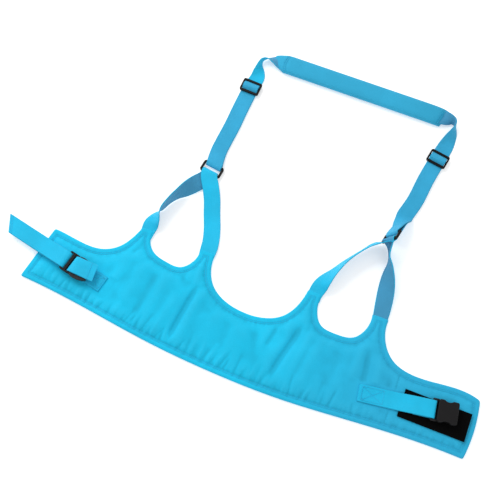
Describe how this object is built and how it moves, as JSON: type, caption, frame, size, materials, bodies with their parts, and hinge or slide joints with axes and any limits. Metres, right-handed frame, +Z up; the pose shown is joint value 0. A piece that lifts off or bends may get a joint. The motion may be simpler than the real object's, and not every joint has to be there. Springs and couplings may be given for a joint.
{
  "type": "walking assist harness",
  "caption": "Padded chest wrap with arm loops, side-release buckle and an adjustable lifting handle for a helper, lying flat.",
  "frame": {"origin": "centre of the footprint, on the surface the harness lies on", "axes": "+X along the vest towards the wing with the buckle socket, +Y from the vest towards the lifting handle, +Z up from the surface, out of the vest's outer face"},
  "size_m": [0.732, 0.513, 0.0339],
  "materials": {
    "outer_fabric": "plain-woven nylon, slight sheen",
    "lining_fabric": "brushed knit lining",
    "webbing": "woven polypropylene webbing",
    "foam": "open-cell foam",
    "hook_tape": "hook tape",
    "loop_tape": "loop tape",
    "buckle_plastic": "moulded acetal",
    "ring_plastic": "moulded, smooth"
  },
  "bodies": {
    "vest": {"vest_cover": "outer_fabric", "vest_foam": "foam", "vest_lining": "lining_fabric", "right_strap_anchor": "webbing"},
    "left_wing": {"left_wing_cover": "outer_fabric", "left_wing_foam": "foam", "left_wing_lining": "lining_fabric", "loop_patch": "loop_tape", "left_strap_under": "webbing", "left_strap_fold": "webbing"},
    "right_wing": {"right_wing_cover": "outer_fabric", "right_wing_foam": "foam", "right_wing_lining": "lining_fabric", "hook_patch": "hook_tape", "right_strap": "webbing"},
    "socket": {"socket_body": "buckle_plastic"},
    "tail": {"left_strap_return": "webbing", "plug_body": "buckle_plastic"},
    "prong_upper": {"plug_prong_upper": "buckle_plastic"},
    "prong_lower": {"plug_prong_lower": "buckle_plastic"},
    "loops": {"left_loop_outer_leg": "webbing", "left_loop_inner_leg": "webbing", "right_loop_inner_leg": "webbing", "right_loop_outer_leg": "webbing", "loop_end_tabs": "webbing", "left_ring": "ring_plastic", "right_ring": "ring_plastic", "left_ring_strap": "webbing", "right_ring_strap": "webbing"},
    "sling": {"left_lower_strap": "webbing", "right_lower_strap": "webbing"},
    "slider_left": {"left_slider": "buckle_plastic", "left_slider_strap": "webbing"},
    "slider_right": {"right_slider": "buckle_plastic", "right_slider_strap": "webbing"},
    "handle": {"left_upper_strap": "webbing", "right_upper_strap": "webbing", "handle_webbing": "webbing", "handle_foam": "foam", "handle_sleeve": "outer_fabric"}
  },
  "joints": [
    {"name": "left_wing_fold", "type": "hinge", "parent": "vest", "child": "left_wing", "pos_m": [-0.19015, -0.187, 0.0072], "axis": [0, 1, 0], "range_deg": [0, 90]},
    {"name": "right_wing_fold", "type": "hinge", "parent": "vest", "child": "right_wing", "pos_m": [0.24715, -0.197, 0.0104], "axis": [0, -1, 0], "range_deg": [0, 90]},
    {"name": "socket_swing", "type": "hinge", "parent": "right_wing", "child": "socket", "pos_m": [0.303, -0.1928, 0.0124], "axis": [0.1392, -0.9903, 0], "range_deg": [0, 75]},
    {"name": "strap_unfold", "type": "hinge", "parent": "left_wing", "child": "tail", "pos_m": [-0.36145, -0.1603, 0.0089], "axis": [-0.2079, -0.9781, 0], "range_deg": [0, 170], "deforming": ["left_strap_fold"]},
    {"name": "prong_upper_flex", "type": "hinge", "parent": "tail", "child": "prong_upper", "pos_m": [-0.23933, -0.17256, 0.0136], "axis": [0, 0, -1], "range_deg": [0, 6], "stiffness_Nm_per_rad": 0.1},
    {"name": "prong_lower_flex", "type": "hinge", "parent": "tail", "child": "prong_lower", "pos_m": [-0.2449, -0.19877, 0.0136], "axis": [0, 0, 1], "range_deg": [0, 6], "stiffness_Nm_per_rad": 0.1},
    {"name": "loop_lift", "type": "hinge", "parent": "vest", "child": "loops", "pos_m": [0.015, -0.0927, 0.0046], "axis": [1, 0, 0], "range_deg": [0, 90]},
    {"name": "sling_fold", "type": "hinge", "parent": "loops", "child": "sling", "pos_m": [0.03, 0.062, 0.0036], "axis": [1, 0, 0], "range_deg": [0, 90]},
    {"name": "strap_length", "type": "slide", "parent": "sling", "child": "handle", "axis": [0.1141, 0.9935, 0], "range_m": [0, 0.06]},
    {"name": "left_slider_slide", "type": "slide", "parent": "sling", "child": "slider_left", "axis": [0.0506, 0.9987, 0], "range_m": [-0.06, 0]},
    {"name": "right_slider_slide", "type": "slide", "parent": "sling", "child": "slider_right", "axis": [0.1771, 0.9842, 0], "range_m": [-0.06, 0]}
  ],
  "couplings": [
    {"joint": "left_slider_slide", "follows": "strap_length", "ratio": -1},
    {"joint": "right_slider_slide", "follows": "strap_length", "ratio": -1}
  ]
}
